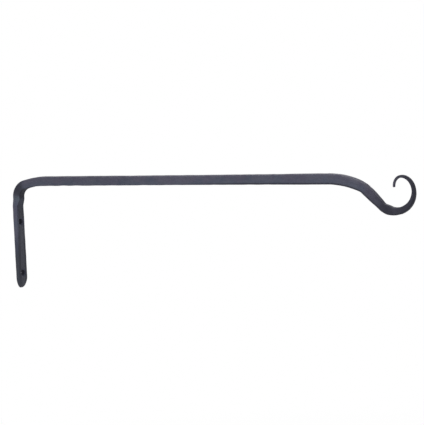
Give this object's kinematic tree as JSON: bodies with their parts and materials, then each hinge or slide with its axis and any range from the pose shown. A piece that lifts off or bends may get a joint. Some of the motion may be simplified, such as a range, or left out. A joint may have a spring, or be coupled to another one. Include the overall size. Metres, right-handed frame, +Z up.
{
  "type": "plant hook",
  "caption": "Forged iron wall bracket: a flat pad with two countersunk screw holes, a long square arm and an upturned scroll that holds a hanging plant.",
  "frame": {"origin": "midway between the two screw holes, on the flat back of the wall pad", "axes": "+X straight out from the wall along the arm, +Y across the bar, +Z up along the wall"},
  "size_m": [0.3852, 0.0124, 0.098],
  "materials": {
    "forged_finish": "matte dark blue-grey coat over forged iron, with a soft hammered surface"
  },
  "bodies": {
    "root": {"forged_hook": "forged_finish"}
  },
  "joints": []
}
